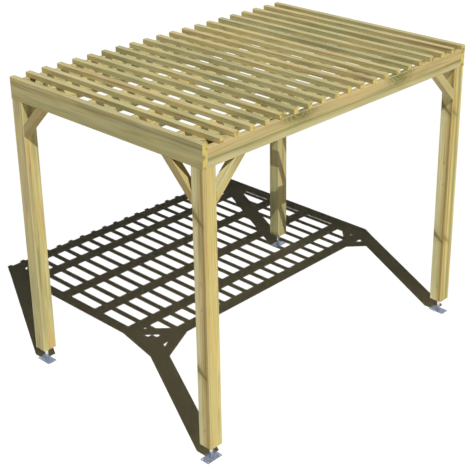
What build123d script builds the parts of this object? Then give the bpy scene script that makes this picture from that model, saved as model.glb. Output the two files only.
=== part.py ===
"""Flat-roofed timber pergola: four rebated posts on steel feet, a beam ring, rafters and slats.

Ledgers carry the rafters' ends. Knee braces and flat corner ties stiffen the frame.
Millimetres. +X runs along the long side, +Y from the front long side to the back, +Z up.
The origin is on the floor, in the middle of the plan.
"""
import os
from math import sqrt

from build123d import *

# Overall sizes of the timber frame
ROOF_LENGTH = 3020.0
ROOF_WIDTH = 2086.0
POST_LENGTH_BELOW_BEAMS = 2198.0

# Timber sections
POST_SIDE = 120.0
BEAM_THICKNESS = 45.0
END_BEAM_DEPTH = 180.0
LONG_BEAM_DEPTH = 143.0
SLAT_THICKNESS = 47.0
SLAT_HEIGHT = 40.0
BRACE_SIDE = 68.0
POST_ARRIS = 5.0
ARRIS = 3.0

# How many pieces fill the roof, and the rafters' spacing as a share of its width
RAFTER_COUNT = 4
RAFTER_PITCH_SHARE = 0.223
SLAT_COUNT = 19

# Ledgers inside the end beams, on which the rafters' notched ends lie
LEDGER_THICKNESS = 40.0

# Ties of the braces' timber laid flat across the roof's corners, clear of the tongues and the rafters
TIE_CLEARANCE = 2.0

# How far the posts' tongues end below the slats
TONGUE_DROP = 25.0

# Knee braces: how far the lower edge reaches along the beam and down the post
BRACE_REACH = 280.0

# Steel feet
PLATE_LENGTH = 146.0
PLATE_WIDTH = 84.0
PLATE_THICKNESS = 5.0
PLATE_CORNER_RADIUS = 5.0
BOLT_SPACING_LONG = 122.0
BOLT_SPACING_SHORT = 56.0
BOLT_HOLE_RADIUS = 6.5
NAIL_HOLE_RADIUS = 4.5
FOOT_STANDOFF = 122.0
STEM_RADIUS = 12.0
PIN_RADIUS = 8.0
PIN_LENGTH = 90.0
PIN_CLEARANCE = 0.3

# Every cut runs past the face it opens by this much
OVERRUN = 10.0

# Levels above the floor
POST_FOOT_Z = PLATE_THICKNESS + FOOT_STANDOFF
BEAM_FOOT_Z = POST_FOOT_Z + POST_LENGTH_BELOW_BEAMS
SLAT_SEAT_Z = BEAM_FOOT_Z + LONG_BEAM_DEPTH
TONGUE_TOP_Z = SLAT_SEAT_Z - TONGUE_DROP
TIE_SEAT_Z = SLAT_SEAT_Z - BRACE_SIDE
LEDGER_HEIGHT = TIE_SEAT_Z - BEAM_FOOT_Z

# Plan lines
HALF_LENGTH = ROOF_LENGTH / 2
HALF_WIDTH = ROOF_WIDTH / 2
POST_X = HALF_LENGTH - POST_SIDE / 2
POST_Y = HALF_WIDTH - POST_SIDE / 2
BETWEEN_END_BEAMS = ROOF_LENGTH - 2 * BEAM_THICKNESS

# Rafters spread evenly about the middle; slats leave equal clear gaps
RAFTER_PITCH = RAFTER_PITCH_SHARE * ROOF_WIDTH
FIRST_RAFTER_Y = -(RAFTER_COUNT - 1) * RAFTER_PITCH / 2
SLAT_GAP = (BETWEEN_END_BEAMS - SLAT_COUNT * SLAT_THICKNESS) / (SLAT_COUNT + 1)

# A tie reaches along each beam as far as a brace, or as the first bay and the tongue's corner allow
FIRST_BAY = HALF_WIDTH - BEAM_THICKNESS + FIRST_RAFTER_Y - BEAM_THICKNESS / 2
TIE_REACH = min(BRACE_REACH, FIRST_BAY - TIE_CLEARANCE)
TONGUE_CORNER_REACH = 2 * (POST_SIDE - BEAM_THICKNESS)
TIE_WIDTH = min(BRACE_SIDE, (TIE_REACH - TONGUE_CORNER_REACH - TIE_CLEARANCE) / sqrt(2))

os.makedirs("parts", exist_ok=True)


def eased_bar(size_x, size_y, size_z, arris, along):
    """A bar centred on the origin, with the four edges that run along one axis eased."""
    bar = Box(size_x, size_y, size_z)
    return chamfer(bar.edges().filter_by(along), arris)


def front_left_post():
    """Post rebated on two sides, with a tongue inside the beam corner and a bore for the foot's pin."""
    length = TONGUE_TOP_Z - POST_FOOT_Z
    post = eased_bar(POST_SIDE, POST_SIDE, length, POST_ARRIS, Axis.Z)
    post = Pos(-POST_X, -POST_Y, POST_FOOT_Z + length / 2) * post
    rebate_depth = BEAM_THICKNESS + OVERRUN
    rebate_width = POST_SIDE + 2 * OVERRUN
    rebate_height = TONGUE_TOP_Z - BEAM_FOOT_Z + OVERRUN
    rebate_z = BEAM_FOOT_Z + rebate_height / 2
    end_rebate = Box(rebate_depth, rebate_width, rebate_height)
    long_rebate = Box(rebate_width, rebate_depth, rebate_height)
    post -= Pos(-HALF_LENGTH + BEAM_THICKNESS - rebate_depth / 2, -POST_Y, rebate_z) * end_rebate
    post -= Pos(-POST_X, -HALF_WIDTH + BEAM_THICKNESS - rebate_depth / 2, rebate_z) * long_rebate
    bore_length = PIN_LENGTH + PIN_CLEARANCE + OVERRUN
    bore = Cylinder(PIN_RADIUS + PIN_CLEARANCE, bore_length)
    post -= Pos(-POST_X, -POST_Y, POST_FOOT_Z - OVERRUN + bore_length / 2) * bore
    return post


def foot():
    """Base plate with its holes, the stem that carries the post and the pin that enters it."""
    plate = Box(PLATE_LENGTH, PLATE_WIDTH, PLATE_THICKNESS)
    plate = fillet(plate.edges().filter_by(Axis.Z), PLATE_CORNER_RADIUS)
    drill_length = PLATE_THICKNESS + 2 * OVERRUN
    for bolt in GridLocations(BOLT_SPACING_LONG, BOLT_SPACING_SHORT, 2, 2):
        plate -= bolt * Cylinder(BOLT_HOLE_RADIUS, drill_length)
    for nail in GridLocations(BOLT_SPACING_LONG, BOLT_SPACING_SHORT, 2, 1):
        plate -= nail * Cylinder(NAIL_HOLE_RADIUS, drill_length)
    stem = Cylinder(STEM_RADIUS, FOOT_STANDOFF)
    pin = Cylinder(PIN_RADIUS, PIN_LENGTH)
    steel = Pos(0, 0, PLATE_THICKNESS / 2) * plate
    steel += Pos(0, 0, PLATE_THICKNESS + FOOT_STANDOFF / 2) * stem
    steel += Pos(0, 0, POST_FOOT_Z + PIN_LENGTH / 2) * pin
    return steel


def brace_along_x():
    """Knee brace at 45 degrees in the XZ plane, with its front face at Y zero.

    The corner of the post's inner face and the beam's underside is the origin, and mitres both ends.
    """
    bar = eased_bar(2 * BRACE_REACH, BRACE_SIDE, BRACE_SIDE, ARRIS, Axis.X)
    bar = Rot(0, -45, 0) * Pos(0, 0, BRACE_SIDE / 2) * bar
    bar = Pos(BRACE_REACH / 2, BRACE_SIDE / 2, -BRACE_REACH / 2) * bar
    corner = Box(2 * BRACE_REACH, 2 * BRACE_SIDE, 2 * BRACE_REACH)
    corner = Pos(BRACE_REACH, BRACE_SIDE / 2, -BRACE_REACH) * corner
    return bar & corner


def front_left_brace_x():
    """Brace that steadies the front beam at the front left post."""
    return Pos(-HALF_LENGTH + POST_SIDE, -HALF_WIDTH, BEAM_FOOT_Z) * brace_along_x()


def front_left_brace_y():
    """Brace that steadies the left beam at the front left post: the same piece in the other plane."""
    turned = mirror(Rot(0, 0, -90) * brace_along_x(), about=Plane.XZ)
    return Pos(-HALF_LENGTH, -HALF_WIDTH + POST_SIDE, BEAM_FOOT_Z) * turned


def front_left_tie():
    """Flat tie at 45 degrees between the inner faces of two beams, mitred at both ends."""
    bar = eased_bar(2 * TIE_REACH, TIE_WIDTH, BRACE_SIDE, ARRIS, Axis.X)
    bar = Rot(0, 0, -45) * Pos(0, -TIE_WIDTH / 2, 0) * bar
    bar = Pos(TIE_REACH / 2, TIE_REACH / 2, 0) * bar
    corner = Pos(TIE_REACH, TIE_REACH, 0) * Box(2 * TIE_REACH, 2 * TIE_REACH, 2 * BRACE_SIDE)
    tie = bar & corner
    inner_x = -HALF_LENGTH + BEAM_THICKNESS
    inner_y = -HALF_WIDTH + BEAM_THICKNESS
    return Pos(inner_x, inner_y, TIE_SEAT_Z + BRACE_SIDE / 2) * tie


def at_each_corner(shape):
    """The front left piece and its three mirror images, by corner name."""
    right = mirror(shape, about=Plane.YZ)
    return {
        "front_left": shape,
        "front_right": right,
        "back_left": mirror(shape, about=Plane.XZ),
        "back_right": mirror(right, about=Plane.XZ),
    }


def corner_pieces():
    """Posts, braces, ties and feet."""
    pieces = {}
    for family, shape in (
        ("post", front_left_post()),
        ("brace_x", front_left_brace_x()),
        ("brace_y", front_left_brace_y()),
        ("tie", front_left_tie()),
    ):
        for corner, copy in at_each_corner(shape).items():
            pieces[f"{family}_{corner}"] = copy
    # The plates lie along X at two opposite corners and along Y at the other two
    along_x = foot()
    along_y = Rot(0, 0, 90) * foot()
    pieces["foot_front_left"] = Pos(-POST_X, -POST_Y, 0) * along_x
    pieces["foot_back_right"] = Pos(POST_X, POST_Y, 0) * along_x
    pieces["foot_front_right"] = Pos(POST_X, -POST_Y, 0) * along_y
    pieces["foot_back_left"] = Pos(-POST_X, POST_Y, 0) * along_y
    return pieces


def notched_rafter(bar):
    """A rafter whose ends are cut away below to lie on the ledgers."""
    notch_length = LEDGER_THICKNESS + OVERRUN
    notch_height = LEDGER_HEIGHT + OVERRUN
    notch = Box(notch_length, BEAM_THICKNESS + 2 * OVERRUN, notch_height)
    notch_x = BETWEEN_END_BEAMS / 2 - LEDGER_THICKNESS + notch_length / 2
    notch_z = -LONG_BEAM_DEPTH / 2 + LEDGER_HEIGHT - notch_height / 2
    for side in (-1, 1):
        bar -= Pos(side * notch_x, 0, notch_z) * notch
    return bar


def roof_pieces():
    """End beams over the full width with their ledgers, long beams and rafters between, and slats on top."""
    pieces = {}
    end_beam = eased_bar(BEAM_THICKNESS, ROOF_WIDTH, END_BEAM_DEPTH, ARRIS, Axis.Y)
    end_x = HALF_LENGTH - BEAM_THICKNESS / 2
    end_z = BEAM_FOOT_Z + END_BEAM_DEPTH / 2
    pieces["beam_left"] = Pos(-end_x, 0, end_z) * end_beam
    pieces["beam_right"] = Pos(end_x, 0, end_z) * end_beam
    # The ledgers fill the length between the posts' tongues
    ledger_length = ROOF_WIDTH - 2 * POST_SIDE
    ledger = eased_bar(LEDGER_THICKNESS, ledger_length, LEDGER_HEIGHT, ARRIS, Axis.Y)
    ledger_x = BETWEEN_END_BEAMS / 2 - LEDGER_THICKNESS / 2
    ledger_z = BEAM_FOOT_Z + LEDGER_HEIGHT / 2
    pieces["ledger_left"] = Pos(-ledger_x, 0, ledger_z) * ledger
    pieces["ledger_right"] = Pos(ledger_x, 0, ledger_z) * ledger
    long_beam = eased_bar(BETWEEN_END_BEAMS, BEAM_THICKNESS, LONG_BEAM_DEPTH, ARRIS, Axis.X)
    long_y = HALF_WIDTH - BEAM_THICKNESS / 2
    long_z = BEAM_FOOT_Z + LONG_BEAM_DEPTH / 2
    pieces["beam_front"] = Pos(0, -long_y, long_z) * long_beam
    pieces["beam_back"] = Pos(0, long_y, long_z) * long_beam
    rafter = notched_rafter(long_beam)
    for number in range(1, RAFTER_COUNT + 1):
        rafter_y = FIRST_RAFTER_Y + (number - 1) * RAFTER_PITCH
        pieces[f"rafter_{number}"] = Pos(0, rafter_y, long_z) * rafter
    slat = eased_bar(SLAT_THICKNESS, ROOF_WIDTH, SLAT_HEIGHT, ARRIS, Axis.Y)
    first_slat_x = -BETWEEN_END_BEAMS / 2 + SLAT_GAP + SLAT_THICKNESS / 2
    for number in range(1, SLAT_COUNT + 1):
        slat_x = first_slat_x + (number - 1) * (SLAT_THICKNESS + SLAT_GAP)
        pieces[f"slat_{number:02d}"] = Pos(slat_x, 0, SLAT_SEAT_Z + SLAT_HEIGHT / 2) * slat
    return pieces


for name, shape in {**corner_pieces(), **roof_pieces()}.items():
    export_step(shape, f"parts/{name}.step")
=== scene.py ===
"""Looks of the timber pergola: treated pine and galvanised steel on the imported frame, in clear light."""

import math
import random
from collections import namedtuple

import bpy
from mathutils import Matrix, Vector


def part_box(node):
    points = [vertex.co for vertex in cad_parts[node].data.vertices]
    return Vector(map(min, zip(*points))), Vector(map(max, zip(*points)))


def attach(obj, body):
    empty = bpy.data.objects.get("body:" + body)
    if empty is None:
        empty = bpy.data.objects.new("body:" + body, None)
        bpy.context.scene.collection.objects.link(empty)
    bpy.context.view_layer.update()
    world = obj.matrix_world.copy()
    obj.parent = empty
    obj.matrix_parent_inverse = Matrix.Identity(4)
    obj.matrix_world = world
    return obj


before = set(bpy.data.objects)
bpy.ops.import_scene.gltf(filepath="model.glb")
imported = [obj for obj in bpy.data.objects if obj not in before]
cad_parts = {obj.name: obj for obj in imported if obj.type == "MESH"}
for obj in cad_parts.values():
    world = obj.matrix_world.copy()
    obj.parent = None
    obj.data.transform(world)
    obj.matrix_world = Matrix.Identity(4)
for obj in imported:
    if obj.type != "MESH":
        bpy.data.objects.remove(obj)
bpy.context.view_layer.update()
scene = bpy.context.scene
scene.view_settings.view_transform = "Standard"

# Camera at the photograph's viewing angle
CAMERA_PLACE = (-6.1091, -5.8659, 5.1435)
CAMERA_TURN_DEG = (67.1677, 0.0913, -47.6104)
CAMERA_LENS_MM = 85.521
CAMERA_SENSOR_MM = 36.0
CAMERA_SHIFT = (-0.08215, -0.14319)

# Key light: the way it travels, its strength and how soft its shadow edge is
KEY_WAY = (0.267, 0.5162, -0.8142)
KEY_STRENGTH = 3.83
KEY_SOFTNESS_DEG = 0.18

# Faint fill from the sky, and the white ground
SKY_STRENGTH = 0.021
SKY_COLOUR = (1.0, 0.95, 0.80, 1.0)
FLOOR_HALF_SIZE = 60.0
FLOOR_BOUNCE = 0.8
WHITE = (1.0, 1.0, 1.0, 1.0)


def linear(red, green, blue):
    """A screen colour of 0 to 255 as linear light with full opacity."""
    def channel(value):
        share = value / 255
        return share / 12.92 if share <= 0.04045 else ((share + 0.055) / 1.055) ** 2.4
    return (channel(red), channel(green), channel(blue), 1.0)


# Colours of the treated pine, from green sapwood over straw and gold to pink and brown heart
OLIVE = linear(146, 138, 84)
GREEN = linear(178, 171, 116)
STRAW = linear(203, 190, 131)
GOLD = linear(213, 191, 120)
PINK = linear(213, 184, 128)
BROWN = linear(186, 154, 102)
HONEY = linear(204, 183, 113)
AMBER = linear(164, 138, 74)
DARK_GREEN = linear(124, 122, 66)
MOSS = linear(98, 104, 52)
DARK_BROWN = linear(118, 96, 48)
KNOT_BROWN = linear(112, 90, 48)
WORN = linear(222, 212, 164)
# Painted shade and light: a cool tint that the sides take and a pale tint that the tops take
PAINTED_SIDE_SHADE = linear(186, 182, 142)
PAINTED_TOP_LIGHT = linear(192, 191, 161)
END_PALE = linear(220, 202, 120)
END_DARK = linear(146, 114, 50)
WOOD_RAMP = ((0.0, OLIVE), (0.2, GREEN), (0.42, STRAW), (0.6, GOLD), (0.8, PINK), (1.0, BROWN))

# Colours of the zinc, the bright stem, the screws and the welds, whose dark grey is also painted contact
# shade at the stem's foot
ZINC_DARK = linear(122, 132, 152)
ZINC_PALE = linear(152, 161, 178)
ZINC_STAIN = linear(108, 116, 136)
STEM_STEEL = linear(214, 218, 226)
SCREW_STEEL = linear(196, 180, 128)
WELD_CONTACT_SHADE_STEEL = linear(112, 118, 132)

# Noises of the wood: grains per metre along the fibres and across them, seed, detail, roughness, and whether
# the noise follows the bends of the log
Noise = namedtuple("Noise", "along across seed detail roughness bends")
HEART_NOISE = Noise(0.9, 4.0, 0.0, 2.0, 0.5, False)
NOISES = {
    "ripple": Noise(3.0, 40.0, 3.0, 2.0, 0.5, False),
    "broad": Noise(0.8, 24.0, 11.0, 2.0, 0.6, True),
    "narrow": Noise(1.8, 85.0, 17.0, 3.0, 0.6, True),
    "zone": Noise(1.5, 5.0, 23.0, 2.0, 0.5, False),
    "fibre": Noise(9.0, 700.0, 29.0, 2.0, 0.5, False),
    "sap": Noise(2.0, 30.0, 37.0, 2.0, 0.5, False),
    "amber": Noise(2.5, 20.0, 41.0, 2.0, 0.5, True),
    "patch": Noise(9.0, 30.0, 47.0, 2.0, 0.5, False),
}

# Growth rings and the wander of the log's heart, in metres
RING_SPACING = 0.0052
RING_RIPPLE = 0.007
HEART_WANDER = 0.03

# How far the noises swing the pick of a colour on the ramp
BROAD_SWING = 1.5
NARROW_SWING = 1.0
ZONE_SWING = 1.7

# Shares of the tints for amber patches, dark streaks, late wood and the rings of the end grain
AMBER_SHARE = 0.5
DARK_STREAK_SHARE = 0.6
LATE_WOOD_SHARE = 0.3
END_RING_SHARE = 0.85
END_LATE_WOOD_SHARE = 0.6

# Brightness that the fibres and the narrow streaks give, from the low to the high end of their noise
FIBRE_LIGHT = (0.95, 1.09)
STREAK_LIGHT = (1.09, 0.9)

# Where in a noise, a face's direction or a ring's width each change begins and ends
END_FACING = (0.6, 0.8)
ARRIS_FACING = (0.25, 0.5)
LATE_WOOD_RISE = (0.35, 0.9)
LATE_WOOD_FALL = (0.92, 1.0)
AMBER_RANGE = (0.50, 0.72)
DARK_STREAK_RANGE = (0.28, 0.40)
FIBRE_RANGE = (0.25, 0.75)
NARROW_RANGE = (0.3, 0.7)
WORN_RANGE = (0.4, 0.6)
SAP_RANGE = (0.44, 0.66)
PATCH_RANGE = (0.3, 0.6)
STAIN_RANGE = (0.5, 0.75)
MOTTLE_RANGE = (0.35, 0.65)

# Least share of an arris that stays rubbed pale
LEAST_WORN_SHARE = 0.2

# Gloss and relief of the wood
WOOD_ROUGHNESS = 0.76
LATE_WOOD_ROUGHNESS = 0.60
WOOD_SPECULAR = 0.25
WOOD_RELIEF = 0.35
WOOD_RELIEF_DEPTH = 0.0006
FIBRE_RELIEF_SHARE = 0.6
LATE_WOOD_RELIEF_SHARE = 0.4

# How much shorter a mark is counted along the grain, which draws it out
KNOT_SQUEEZE = 0.6
SWIRL_SQUEEZE = 0.44
STREAK_SQUEEZE = 0.1

# How much a mark's edge is ragged, how much its tint is patchy, and the share of its reach with the full tint
RAGGED_EDGE = (0.7, 1.3)
PATCHY_TINT = (0.5, 1.0)
FULL_TINT_SHARE = 0.3

# Round a knot, in shares of its reach: how far and how much the rings swerve, and the halo's start and end
SWERVE_REACH = 5.0
SWERVE_SIZE = 2.2
HALO_START = 0.8
HALO_END = 3.4

# Share that the halo has of a knot's strength and swirl
HALO_SHARE = 0.4

# Lines of a swirl: spacing and unevenness in metres, edges in shares of the spacing, fade in knot reaches
SWIRL_SPACING = 0.018
SWIRL_RIPPLE = 0.030
SWIRL_BEND = 0.080
SWIRL_LINE = (0.12, 0.36)
SWIRL_FADE = (0.5, 3.6)

# Heights above the floor in metres: the plate's top, where the stem's foot painted dull as a dark reflection
# ends, and where it is bright
PLATE_TOP = 0.005
STEM_PAINTED_REFLECTION_END = 0.035
STEM_BRIGHT = 0.075

# Flakes and stains of the zinc, and the mottle of screws and welds
FLAKES_PER_METRE = 110.0
STAIN_NOISE = Noise(40.0, 40.0, 2.0, 3.0, 0.5, False)
MOTTLE_NOISE = Noise(400.0, 400.0, 5.0, 3.0, 0.5, False)
STAIN_SHARE = 0.5
MOTTLE_SHADE = 0.7

# Metal, gloss and relief of the zinc, and what the stem keeps of its roughness and relief
ZINC_METAL = 0.7
ZINC_ROUGHNESS = (0.36, 0.52)
ZINC_RELIEF = 0.12
ZINC_RELIEF_DEPTH = 0.0004
STEM_ROUGHNESS_SHARE = 0.35
STEM_RELIEF_SHARE = 0.1

# Metal and gloss of screws and welds
DULL_METAL = 0.6
DULL_ROUGHNESS_RANGE = (0.3, 0.7)
DULL_ROUGHNESS_SWING = 0.15


class Net:
    """A material's nodes, with short ways to add one and feed it."""

    def __init__(self, name):
        self.material = bpy.data.materials.new(name)
        self.material.use_nodes = True
        self.nodes = self.material.node_tree.nodes
        self.links = self.material.node_tree.links
        self.shader = self.nodes["Principled BSDF"]

    def feed(self, socket, value):
        if isinstance(value, bpy.types.NodeSocket):
            self.links.new(value, socket)
        else:
            socket.default_value = value

    def math(self, operation, first, second=0.0, clamp=False):
        node = self.nodes.new("ShaderNodeMath")
        node.operation = operation
        node.use_clamp = clamp
        self.feed(node.inputs[0], first)
        self.feed(node.inputs[1], second)
        return node.outputs[0]

    def add(self, *terms):
        total = terms[0]
        for term in terms[1:]:
            total = self.math("ADD", total, term)
        return total

    def centred(self, value, size):
        """A noise value of 0 to 1 as a swing about zero."""
        return self.math("MULTIPLY", self.math("SUBTRACT", value, 0.5), size)

    def vector(self, operation, first, second=(0.0, 0.0, 0.0)):
        node = self.nodes.new("ShaderNodeVectorMath")
        node.operation = operation
        self.feed(node.inputs[0], first)
        self.feed(node.inputs[1], second)
        return node.outputs["Value"] if operation in ("LENGTH", "DOT_PRODUCT") else node.outputs["Vector"]

    def turned(self, vector, turn):
        node = self.nodes.new("ShaderNodeMapping")
        node.vector_type = "VECTOR"
        node.inputs["Rotation"].default_value = turn.to_euler()
        self.feed(node.inputs["Vector"], vector)
        return node.outputs["Vector"]

    def parts(self, vector):
        node = self.nodes.new("ShaderNodeSeparateXYZ")
        self.feed(node.inputs[0], vector)
        return node.outputs

    def step(self, value, low, high, from_value=0.0, to_value=1.0):
        """Smooth rise from one value to another between low and high."""
        node = self.nodes.new("ShaderNodeMapRange")
        node.interpolation_type = "SMOOTHSTEP"
        self.feed(node.inputs["Value"], value)
        node.inputs["From Min"].default_value = low
        node.inputs["From Max"].default_value = high
        node.inputs["To Min"].default_value = from_value
        node.inputs["To Max"].default_value = to_value
        return node.outputs["Result"]

    def mix(self, share, first, second, blend="MIX"):
        node = self.nodes.new("ShaderNodeMix")
        node.data_type = "RGBA"
        node.blend_type = blend
        self.feed(node.inputs[0], share)
        self.feed(node.inputs[6], first)
        self.feed(node.inputs[7], second)
        return node.outputs[2]

    def ramp(self, value, stops):
        node = self.nodes.new("ShaderNodeValToRGB")
        points = node.color_ramp.elements
        while len(points) < len(stops):
            points.new(1.0)
        for point, (place, colour) in zip(points, stops):
            point.position = place
            point.color = colour
        self.feed(node.inputs[0], value)
        return node.outputs[0]

    def noise(self, place, kind, seed=0.0, output="Fac"):
        """Soft noise of one kind, with its own grains per metre along X and across it."""
        node = self.nodes.new("ShaderNodeTexNoise")
        node.noise_dimensions = "4D"
        grains_per_metre = (kind.along, kind.across, kind.across)
        self.feed(node.inputs["Vector"], self.vector("MULTIPLY", place, grains_per_metre))
        node.inputs["W"].default_value = seed + kind.seed
        node.inputs["Scale"].default_value = 1.0
        node.inputs["Detail"].default_value = kind.detail
        node.inputs["Roughness"].default_value = kind.roughness
        return node.outputs[output]

    def away(self, place, start, end, taper):
        """How far a place is from the line between two points, counted as more where its start tapers."""
        way = end - start
        leg = self.vector("SUBTRACT", place, start)
        share = self.vector("DOT_PRODUCT", leg, way / way.length_squared)
        share = self.math("ADD", share, 0.0, clamp=True)
        far = self.vector("LENGTH", self.vector("SUBTRACT", leg, self.vector("MULTIPLY", share, way)))
        return self.math("DIVIDE", far, self.step(share, 0.0, 1.0, taper, 1.0))

    def bump(self, height, strength, distance):
        node = self.nodes.new("ShaderNodeBump")
        node.inputs["Strength"].default_value = strength
        node.inputs["Distance"].default_value = distance
        self.feed(node.inputs["Height"], height)
        self.feed(self.shader.inputs["Normal"], node.outputs["Normal"])


# A knot or a coloured streak round the line between two points of a timber, which are shares of its box. Its
# reach is in metres. Rings swerve round a knot, and a swirl draws darker grain lines round a large one
Mark = namedtuple("Mark", "start end reach colour strength taper squeeze is_knot swirl")


def streak(start, end, reach, colour, strength):
    return Mark(start, end, reach, colour, strength, 1.0, STREAK_SQUEEZE, False, 0.0)


def knot(start, end, reach, colour=KNOT_BROWN, strength=0.6, taper=1.0, swirl=0.0):
    squeeze = SWIRL_SQUEEZE if swirl else KNOT_SQUEEZE
    return Mark(start, end, reach, colour, strength, taper, squeeze, True, swirl)


def piece_grain(node):
    """The way that a timber's fibres run: along its length, and on the slant for a brace or a tie."""
    low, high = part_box(node)
    middle = (low + high) / 2
    if node.startswith("brace_x"):
        return Vector((-math.copysign(1.0, middle.x), 0.0, 1.0)).normalized()
    if node.startswith("brace_y"):
        return Vector((0.0, -math.copysign(1.0, middle.y), 1.0)).normalized()
    if node.startswith("tie"):
        return Vector((math.copysign(1.0, middle.x), -math.copysign(1.0, middle.y), 0.0)).normalized()
    size = high - low
    longest = max(range(3), key=lambda axis: size[axis])
    return Vector([1.0 if axis == longest else 0.0 for axis in range(3)])


# How one timber is cut: its family, the log's heart from the piece's middle, seed, colour pick and brightness
Cut = namedtuple("Cut", "family pith seed tone light")


def mark_ends(node, mark, turn):
    """A mark's two points from the timber's middle, turned to its grain and squeezed along it."""
    low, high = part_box(node)
    middle = (low + high) / 2
    ends = []
    for shares in (mark.start, mark.end):
        spot = Vector([least + (most - least) * share for least, most, share in zip(low, high, shares)])
        ends.append((turn @ (spot - middle)) * Vector((mark.squeeze, 1.0, 1.0)))
    return ends


def paint_marks(net, node, turn, marks, bent, noise, radius):
    """Shares and tints of the marks with ragged edges, and the rings' radius turned aside by the knots."""
    ragged = net.step(noise["narrow"], *NARROW_RANGE, *RAGGED_EDGE)
    patchy = net.step(noise["patch"], *PATCH_RANGE, *PATCHY_TINT)
    painted = []
    for mark in marks:
        squeezed = net.vector("MULTIPLY", bent, (mark.squeeze, 1.0, 1.0))
        far = net.away(squeezed, *mark_ends(node, mark, turn), mark.taper)
        if mark.is_knot:
            swerve = net.step(far, 0.0, SWERVE_REACH * mark.reach, SWERVE_SIZE * mark.reach, 0.0)
            radius = net.add(radius, swerve)
            darkest = HALO_SHARE * (mark.strength + mark.swirl)
            halo = net.step(far, HALO_START * mark.reach, HALO_END * mark.reach, darkest, 0.0)
            painted.append((net.math("MULTIPLY", halo, patchy), DARK_GREEN))
        if mark.swirl:
            painted.append((net.math("MULTIPLY", swirl_lines(net, mark, far, noise), patchy), MOSS))
        far = net.math("MULTIPLY", far, ragged)
        core = net.step(far, FULL_TINT_SHARE * mark.reach, mark.reach, mark.strength, 0.0)
        painted.append((core, mark.colour))
    return painted, radius


def swirl_lines(net, mark, far, noise):
    """Uneven grain lines round a large knot, which fade away from it."""
    ripple = net.centred(noise["ripple"], SWIRL_RIPPLE)
    bend = net.centred(noise["broad"], SWIRL_BEND)
    wave = net.math("PINGPONG", net.add(far, ripple, bend), SWIRL_SPACING / 2)
    line = net.step(wave, *(share * SWIRL_SPACING for share in SWIRL_LINE))
    fade = net.step(far, *(share * mark.reach for share in SWIRL_FADE), mark.swirl, 0.0)
    return net.math("MULTIPLY", line, fade)


def pine_colour(net, cut, normal, noise, late_wood, painted):
    """A colour between green and brown, with painted shade cooling the sides and painted light paling the
    top, and with streaks and marks.
    """
    swings = ((noise["broad"], BROAD_SWING), (noise["narrow"], NARROW_SWING), (noise["zone"], ZONE_SWING))
    pick = net.add(cut.tone, *(net.centred(value, size) for value, size in swings))
    colour = net.ramp(pick, WOOD_RAMP)
    # Painted shade cools the side-on faces, and painted light pales the faces that look up or down
    side_on, _, upright = net.parts(net.vector("ABSOLUTE", normal))
    colour = net.mix(net.math("MULTIPLY", side_on, cut.family.cool), colour, PAINTED_SIDE_SHADE)
    colour = net.mix(net.math("MULTIPLY", upright, cut.family.cool), colour, PAINTED_TOP_LIGHT)
    colour = net.mix(net.step(noise["amber"], *AMBER_RANGE, 0.0, AMBER_SHARE), colour, AMBER)
    dark_streak = net.math("MULTIPLY", noise["narrow"], noise["broad"])
    colour = net.mix(net.step(dark_streak, *DARK_STREAK_RANGE, 0.0, DARK_STREAK_SHARE), colour, OLIVE)
    colour = net.mix(net.math("MULTIPLY", late_wood, LATE_WOOD_SHARE), colour, OLIVE)
    for share, tint in painted:
        colour = net.mix(share, colour, tint)
    return colour


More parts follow.
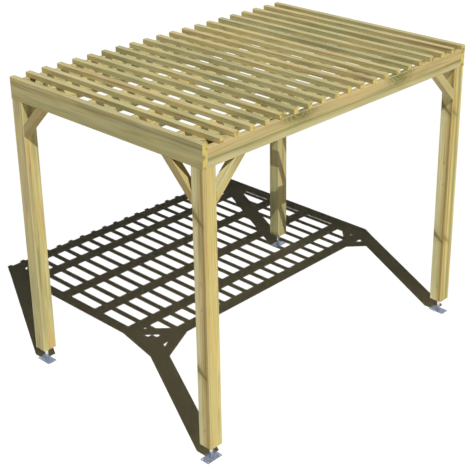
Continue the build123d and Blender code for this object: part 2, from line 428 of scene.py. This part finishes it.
def timber(node, cut, marks):
    """Treated pine sawn from a log whose heart runs along the grain.

    Rings, streaks and fibres are solid in the piece, so that faces, arrises and end grain agree.
    """
    low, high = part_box(node)
    turn = piece_grain(node).rotation_difference(Vector((1.0, 0.0, 0.0)))
    net = Net(f"{node}_look")

    # Places and face directions, turned so that the grain runs along X
    place = net.nodes.new("ShaderNodeTexCoord").outputs["Object"]
    local = net.turned(net.vector("SUBTRACT", place, (low + high) / 2), turn)
    normal = net.nodes.new("ShaderNodeNewGeometry").outputs["True Normal"]
    facing = net.parts(net.vector("ABSOLUTE", net.turned(normal, turn)))
    end_grain = net.step(facing[0], *END_FACING)
    arris = net.step(net.math("MINIMUM", facing[1], facing[2]), *ARRIS_FACING)

    # The log's heart wanders along the piece, and takes rings and marks with it
    swing = net.vector("SUBTRACT", net.noise(local, HEART_NOISE, cut.seed, "Color"), (0.5, 0.5, 0.5))
    bent = net.vector("ADD", local, net.vector("MULTIPLY", swing, (0.0, HEART_WANDER, HEART_WANDER)))
    noise = {name: net.noise(bent if kind.bends else local, kind, cut.seed) for name, kind in NOISES.items()}
    across = net.vector("MULTIPLY", bent, (0.0, 1.0, 1.0))
    radius = net.vector("LENGTH", net.vector("SUBTRACT", across, (0.0, *cut.pith)))
    radius = net.add(radius, net.centred(noise["ripple"], RING_RIPPLE))
    painted, radius = paint_marks(net, node, turn, marks, bent, noise, radius)
    ring = net.math("FRACT", net.math("DIVIDE", radius, RING_SPACING))
    rise, fall = net.step(ring, *LATE_WOOD_RISE), net.step(ring, *LATE_WOOD_FALL, 1.0, 0.0)
    late_wood = net.math("MULTIPLY", rise, fall)

    # Arrises rubbed pale, then light and dark fibres
    colour = pine_colour(net, cut, normal, noise, late_wood, painted)
    worn = cut.family.worn
    rubbed = net.step(noise["narrow"], *WORN_RANGE, LEAST_WORN_SHARE * worn, worn)
    colour = net.mix(net.math("MULTIPLY", arris, rubbed), colour, WORN)
    fibres = net.step(noise["fibre"], *FIBRE_RANGE, *(share * cut.light for share in FIBRE_LIGHT))
    colour = net.mix(1.0, colour, fibres, "MULTIPLY")
    colour = net.mix(1.0, colour, net.step(noise["narrow"], *NARROW_RANGE, *STREAK_LIGHT), "MULTIPLY")

    # Golden end grain with the rings drawn darker
    end_late_wood = net.math("MULTIPLY", late_wood, END_LATE_WOOD_SHARE)
    end_ring = net.math("MAXIMUM", end_late_wood, net.step(noise["sap"], *SAP_RANGE))
    end_colour = net.mix(net.math("MULTIPLY", end_ring, END_RING_SHARE), END_PALE, END_DARK)
    net.feed(net.shader.inputs["Base Color"], net.mix(end_grain, colour, end_colour))

    roughness = net.step(late_wood, 0.0, 1.0, WOOD_ROUGHNESS, LATE_WOOD_ROUGHNESS)
    net.feed(net.shader.inputs["Roughness"], roughness)
    net.shader.inputs["Specular IOR Level"].default_value = WOOD_SPECULAR
    fibre_relief = net.math("MULTIPLY", noise["fibre"], FIBRE_RELIEF_SHARE)
    ring_relief = net.math("MULTIPLY", late_wood, LATE_WOOD_RELIEF_SHARE)
    net.bump(net.add(fibre_relief, ring_relief), WOOD_RELIEF, WOOD_RELIEF_DEPTH)
    return net.material


# Marks that the photograph shows, as shares of each timber's box
POST_MARKS = [
    streak((0.0, 0.78, 0.0), (0.0, 0.78, 1.0), 0.044, WORN, 0.4),
    streak((0.0, 0.15, 0.0), (0.0, 0.15, 1.0), 0.042, AMBER, 0.65),
    streak((0.0, 0.2, 0.0), (0.0, 0.2, 1.0), 0.010, DARK_BROWN, 0.5),
    knot((0.0, 0.2, 0.771), (0.0, 1.0, 0.808), 0.026, DARK_BROWN, 0.8, 0.4),
    knot((0.0, 0.2, 0.256), (0.0, 1.0, 0.286), 0.026, DARK_BROWN, 0.8, 0.4),
    knot((0.0, 0.45, 0.579), (0.5, 0.45, 0.579), 0.007, strength=0.5),
    knot((0.0, 0.45, 0.492), (0.5, 0.45, 0.492), 0.006, strength=0.5),
    knot((0.0, 0.45, 0.061), (0.5, 0.45, 0.061), 0.006, strength=0.5),
]
RIGHT_POST_MARKS = [
    streak((0.12, 0.0, 0.0), (0.12, 0.0, 1.0), 0.014, AMBER, 0.75),
    streak((0.38, 0.0, 0.0), (0.38, 0.0, 1.0), 0.016, HONEY, 0.4),
    streak((0.62, 0.0, 0.0), (0.62, 0.0, 1.0), 0.027, OLIVE, 0.85),
    knot((0.55, 0.0, 0.765), (-0.1, 0.0, 0.793), 0.020, DARK_BROWN, 0.6, 0.4),
    knot((0.55, 0.0, 0.253), (-0.1, 0.0, 0.282), 0.020, DARK_BROWN, 0.6, 0.4),
]
MARKS = {
    "post_front_left": POST_MARKS + [streak((0.45, 0.0, 0.0), (0.45, 0.0, 1.0), 0.055, HONEY, 0.6)],
    "post_front_right": POST_MARKS + RIGHT_POST_MARKS,
    "post_back_left": [
        streak((0.2, 0.0, 0.152), (0.2, 0.0, 0.606), 0.034, GREEN, 0.7),
        streak((0.2, 0.0, 0.273), (0.22, 0.0, 0.384), 0.013, DARK_GREEN, 0.6),
    ],
    "beam_front": [
        streak((0.0, 0.0, 0.85), (1.0, 0.0, 0.85), 0.070, PINK, 0.5),
        streak((0.0, 0.0, 0.0), (1.0, 0.0, 0.0), 0.045, WORN, 0.4),
        streak((0.0, 0.0, 0.38), (1.0, 0.0, 0.36), 0.011, DARK_GREEN, 0.45),
        knot((0.310, 0.0, 0.92), (0.310, 1.0, 1.0), 0.030, DARK_GREEN, 0.7, swirl=0.75),
        knot((0.714, 0.0, 0.92), (0.714, 1.0, 1.0), 0.030, DARK_GREEN, 0.7, swirl=0.75),
    ],
    "beam_left": [
        streak((0.0, 0.0, 0.05), (0.0, 1.0, 0.05), 0.050, OLIVE, 0.35),
        streak((0.0, 0.0, 0.79), (0.0, 1.0, 0.79), 0.016, DARK_BROWN, 0.35),
        streak((0.6, 0.0, 1.0), (0.6, 1.0, 1.0), 0.032, WORN, 0.3),
    ],
}
for corner in ("front_left", "front_right", "back_left", "back_right"):
    foot, head = (0.0, 1.0) if corner.startswith("front") else (1.0, 0.0)
    MARKS[f"brace_y_{corner}"] = [streak((0.0, foot, 0.0), (0.0, head, 1.0), 0.11, AMBER, 1.0)]

# Colour pick on the ramp and its swing from piece to piece, brightness, distance of the log's heart in
# metres, share of the painted shade on the sides and of the painted light on top, share of the worn arrises,
# and the most knots by chance
Family = namedtuple("Family", "tone swing light heart cool worn knots")
FAMILIES = {
    "post": Family(0.58, 0.06, 1.00, 0.035, 0.42, 0.3, 1),
    "brace_x": Family(0.55, 0.08, 0.95, 0.060, 0.32, 0.7, 0),
    "brace_y": Family(0.60, 0.06, 0.82, 0.060, 0.0, 0.4, 0),
    "beam": Family(0.52, 0.08, 0.94, 0.090, 0.32, 0.7, 1),
    "rafter": Family(0.41, 0.10, 1.00, 0.090, 0.32, 0.6, 2),
    "ledger": Family(0.44, 0.10, 0.92, 0.090, 0.32, 0.5, 1),
    "tie": Family(0.48, 0.10, 0.92, 0.060, 0.32, 0.5, 0),
    "slat": Family(0.44, 0.22, 0.99, 0.070, 0.32, 0.3, 1),
}

# Share by which the brightness of a family swings from piece to piece, and the range of the noises' seeds
LIGHT_SWING = 0.04
SEED_RANGE = 90.0

# Places of the chance knots as shares of the length, and their reach in metres
CHANCE_KNOT_SHARES = (0.06, 0.94)
CHANCE_KNOT_REACH = (0.004, 0.009)

# Colour pick and brightness of the pieces whose own cut shows in the photograph
SHOWN_CUTS = {
    "post_front_left": (0.58, 1.05),
    "post_front_right": (0.46, 1.12),
    "post_back_left": (0.57, 0.95),
    "post_back_right": (0.46, 0.84),
    "brace_x_front_left": (0.44, 0.98),
    "brace_x_front_right": (0.61, 0.88),
    "beam_front": (0.37, 0.87),
    "beam_left": (0.45, 0.87),
    "beam_right": (0.48, 0.93),
}


def chance_knots(node, chance, most):
    """A few small knots that run from the piece's middle out through a side, at chance places."""
    grain = piece_grain(node)
    sides = [axis for axis in range(3) if abs(grain[axis]) < 0.5]
    knots = []
    for _ in range(chance.randint(0, most) if most else 0):
        start = [chance.uniform(*CHANCE_KNOT_SHARES)] * 3
        end = list(start)
        angle = chance.uniform(0.0, 2.0 * math.pi)
        for axis, reach in zip(sides, (math.cos(angle), math.sin(angle))):
            start[axis] = 0.5
            end[axis] = 0.5 + reach
        knots.append(knot(start, end, chance.uniform(*CHANCE_KNOT_REACH)))
    return knots


def galvanised():
    """Hot-dip galvanised plate with faint crystal flakes, and a bright drawn stem above it, whose foot keeps
    the plate's dull colour as a painted dark reflection.
    """
    net = Net("galvanised_steel_look")
    place = net.nodes.new("ShaderNodeTexCoord").outputs["Object"]
    flakes = net.nodes.new("ShaderNodeTexVoronoi")
    flakes.inputs["Scale"].default_value = FLAKES_PER_METRE
    net.feed(flakes.inputs["Vector"], place)
    flake = net.parts(flakes.outputs["Color"])[0]
    stain = net.noise(place, STAIN_NOISE)
    low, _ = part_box("foot_front_left")
    # Painted dark reflection: the stem's foot keeps the plate's dull zinc and turns bright higher up
    stem = net.step(net.parts(place)[2], low.z + STEM_PAINTED_REFLECTION_END, low.z + STEM_BRIGHT)
    plate = net.mix(flake, ZINC_DARK, ZINC_PALE)
    plate = net.mix(net.step(stain, *STAIN_RANGE, 0.0, STAIN_SHARE), plate, ZINC_STAIN)
    net.feed(net.shader.inputs["Base Color"], net.mix(stem, plate, STEM_STEEL))
    net.feed(net.shader.inputs["Metallic"], net.step(stem, 0.0, 1.0, ZINC_METAL, 1.0))
    rough = net.step(flake, 0.0, 1.0, *ZINC_ROUGHNESS)
    smoother = net.step(stem, 0.0, 1.0, 1.0, STEM_ROUGHNESS_SHARE)
    net.feed(net.shader.inputs["Roughness"], net.math("MULTIPLY", rough, smoother))
    flatter = net.step(stem, 0.0, 1.0, 1.0, STEM_RELIEF_SHARE)
    net.bump(net.math("MULTIPLY", flake, flatter), ZINC_RELIEF, ZINC_RELIEF_DEPTH)
    return net.material


def dress(node, material):
    """Gives a CAD node one better material."""
    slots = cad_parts[node].data.materials
    slots.clear()
    slots.append(material)


def dress_all():
    """Every timber gets its own cut of pine, and the feet share the steel."""
    steel = galvanised()
    for node in sorted(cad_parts):
        if node.startswith("foot"):
            dress(node, steel)
            continue
        chance = random.Random(f"cut {node}")
        family = FAMILIES[next(name for name in FAMILIES if node.startswith(name))]
        angle = chance.uniform(0.0, 2.0 * math.pi)
        pith = (family.heart * math.cos(angle), family.heart * math.sin(angle))
        seed = chance.uniform(0.0, SEED_RANGE)
        own_tone = family.tone + chance.uniform(-family.swing, family.swing)
        own_light = family.light * chance.uniform(1.0 - LIGHT_SWING, 1.0 + LIGHT_SWING)
        tone, light = SHOWN_CUTS.get(node, (own_tone, own_light))
        marks = MARKS.get(node) or chance_knots(node, chance, family.knots)
        dress(node, timber(node, Cut(family, pith, seed, tone, light), marks))


def lathe(rings, count):
    """Points and faces of a round form from (radius, height) rings; a face closes the last ring."""
    points = []
    for radius, height in rings:
        for number in range(count):
            angle = 2.0 * math.pi * number / count
            points.append(Vector((radius * math.cos(angle), radius * math.sin(angle), height)))
    faces = []
    for ring in range(len(rings) - 1):
        for number in range(count):
            after = (number + 1) % count
            low, high = ring * count, (ring + 1) * count
            faces.append((low + number, low + after, high + after, high + number))
    faces.append(tuple(range(len(points) - count, len(points))))
    return points, faces


def scatter(name, form, places, material):
    """One mesh with a turned copy of a form at each place, fixed to the part."""
    points, faces = [], []
    form_points, form_faces = form
    for place, turn in places:
        start = len(points)
        spin = Matrix.Rotation(turn, 3, "Z")
        points += [place + spin @ point for point in form_points]
        faces += [tuple(start + corner for corner in face) for face in form_faces]
    mesh = bpy.data.meshes.new(name)
    mesh.from_pydata(points, [], faces)
    mesh.materials.append(material)
    piece = bpy.data.objects.new(name, mesh)
    scene.collection.objects.link(piece)
    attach(piece, "root")


# Screw head with a recess, and the weld bead round a stem's foot that carries painted contact shade, as rings
# of radius and height in metres
SCREW_RINGS = ((0.0045, 0.0), (0.0042, 0.0004), (0.0030, 0.0008), (0.0022, 0.0009), (0.0020, 0.0001))
BEAD_RINGS = ((0.0170, 0.0), (0.0166, 0.0014), (0.0152, 0.0026), (0.0136, 0.0040), (0.0121, 0.0046))
SCREW_SIDES = 12
BEAD_SIDES = 32
BEAD_RIPPLE = 0.0005
SCREW_ROUGHNESS = 0.5
WELD_ROUGHNESS = 0.55


def dull_steel(name, colour, rough):
    """Plain dulled steel with a faint mottle."""
    net = Net(name)
    place = net.nodes.new("ShaderNodeTexCoord").outputs["Object"]
    mottle = net.noise(place, MOTTLE_NOISE)
    darker = tuple(MOTTLE_SHADE * channel for channel in colour[:3]) + (1.0,)
    net.feed(net.shader.inputs["Base Color"], net.mix(net.step(mottle, *MOTTLE_RANGE), darker, colour))
    net.shader.inputs["Metallic"].default_value = DULL_METAL
    roughness = net.step(mottle, *DULL_ROUGHNESS_RANGE, rough, rough + DULL_ROUGHNESS_SWING)
    net.feed(net.shader.inputs["Roughness"], roughness)
    return net.material


def fixings():
    """A screw where each slat crosses a long beam or a rafter, and a weld bead at each stem's foot whose dark
    steel is also painted contact shade.
    """
    chance = random.Random("fixings")
    carriers = ["beam_front", "beam_back"] + [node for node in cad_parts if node.startswith("rafter")]
    screws = []
    for slat in sorted(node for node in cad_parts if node.startswith("slat")):
        low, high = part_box(slat)
        for carrier in sorted(carriers):
            beam_low, beam_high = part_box(carrier)
            spot = Vector(((low.x + high.x) / 2, (beam_low.y + beam_high.y) / 2, high.z))
            screws.append((spot, chance.uniform(0.0, 2.0 * math.pi)))
    screw_look = dull_steel("screw_look", SCREW_STEEL, SCREW_ROUGHNESS)
    scatter("screws", lathe(SCREW_RINGS, SCREW_SIDES), screws, screw_look)
    beads = []
    for foot in sorted(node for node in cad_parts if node.startswith("foot")):
        low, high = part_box(foot)
        spot = Vector(((low.x + high.x) / 2, (low.y + high.y) / 2, low.z + PLATE_TOP))
        beads.append((spot, chance.uniform(0.0, 2.0 * math.pi)))
    points, faces = lathe(BEAD_RINGS, BEAD_SIDES)
    for number, point in enumerate(points):
        point.z *= 1.0 + BEAD_RIPPLE / BEAD_RINGS[-1][1] * (number % 2)
    # Weld beads in dark steel: partly a real weld, partly painted contact shade round each stem's foot
    scatter("weld_beads_contact_shade", (points, faces), beads, dull_steel("weld_contact_shade_look", WELD_CONTACT_SHADE_STEEL, WELD_ROUGHNESS))


def white_rays(nodes, links):
    """One where a ray comes straight from the camera, a gloss or a glass, else zero."""
    path = nodes.new("ShaderNodeLightPath")
    seen = path.outputs["Is Camera Ray"]
    for ray in ("Is Glossy Ray", "Is Transmission Ray"):
        either = nodes.new("ShaderNodeMath")
        either.operation = "MAXIMUM"
        links.new(seen, either.inputs[0])
        links.new(path.outputs[ray], either.inputs[1])
        seen = either.outputs[0]
    return seen


def floor():
    """Plain pale floor that shows white and keeps the shadow."""
    net = Net("floor_white")
    bounce = (FLOOR_BOUNCE, FLOOR_BOUNCE, FLOOR_BOUNCE, 1.0)
    net.feed(net.shader.inputs["Base Color"], net.mix(white_rays(net.nodes, net.links), bounce, WHITE))
    net.shader.inputs["Roughness"].default_value = 1.0
    net.shader.inputs["Specular IOR Level"].default_value = 0.0
    mesh = bpy.data.meshes.new("floor")
    half = FLOOR_HALF_SIZE
    corners = [(-half, -half, 0), (half, -half, 0), (half, half, 0), (-half, half, 0)]
    mesh.from_pydata(corners, [], [(0, 1, 2, 3)])
    mesh.materials.append(net.material)
    plane = bpy.data.objects.new("floor", mesh)
    scene.collection.objects.link(plane)


def key_light():
    """One clear key light."""
    lamp = bpy.data.lights.new("key", "SUN")
    lamp.energy = KEY_STRENGTH
    lamp.angle = math.radians(KEY_SOFTNESS_DEG)
    key = bpy.data.objects.new("key", lamp)
    key.rotation_euler = Vector(KEY_WAY).to_track_quat("-Z", "Y").to_euler()
    scene.collection.objects.link(key)


def sky():
    """A faint fill that the camera sees as white."""
    world = bpy.data.worlds.new("studio")
    scene.world = world
    world.use_nodes = True
    nodes, links = world.node_tree.nodes, world.node_tree.links
    nodes.clear()
    choice = nodes.new("ShaderNodeMixShader")
    links.new(white_rays(nodes, links), choice.inputs[0])
    for socket, colour, strength in ((1, SKY_COLOUR, SKY_STRENGTH), (2, WHITE, 1.0)):
        ground = nodes.new("ShaderNodeBackground")
        ground.inputs["Color"].default_value = colour
        ground.inputs["Strength"].default_value = strength
        links.new(ground.outputs[0], choice.inputs[socket])
    out = nodes.new("ShaderNodeOutputWorld")
    links.new(choice.outputs[0], out.inputs[0])


def camera():
    """The photograph's camera."""
    data = bpy.data.cameras.new("camera")
    data.sensor_width = CAMERA_SENSOR_MM
    data.lens = CAMERA_LENS_MM
    data.shift_x, data.shift_y = CAMERA_SHIFT
    data.clip_end = 4.0 * FLOOR_HALF_SIZE
    eye = bpy.data.objects.new("camera", data)
    eye.location = CAMERA_PLACE
    eye.rotation_euler = [math.radians(turn) for turn in CAMERA_TURN_DEG]
    scene.collection.objects.link(eye)
    scene.camera = eye


dress_all()
fixings()
floor()
key_light()
sky()
camera()
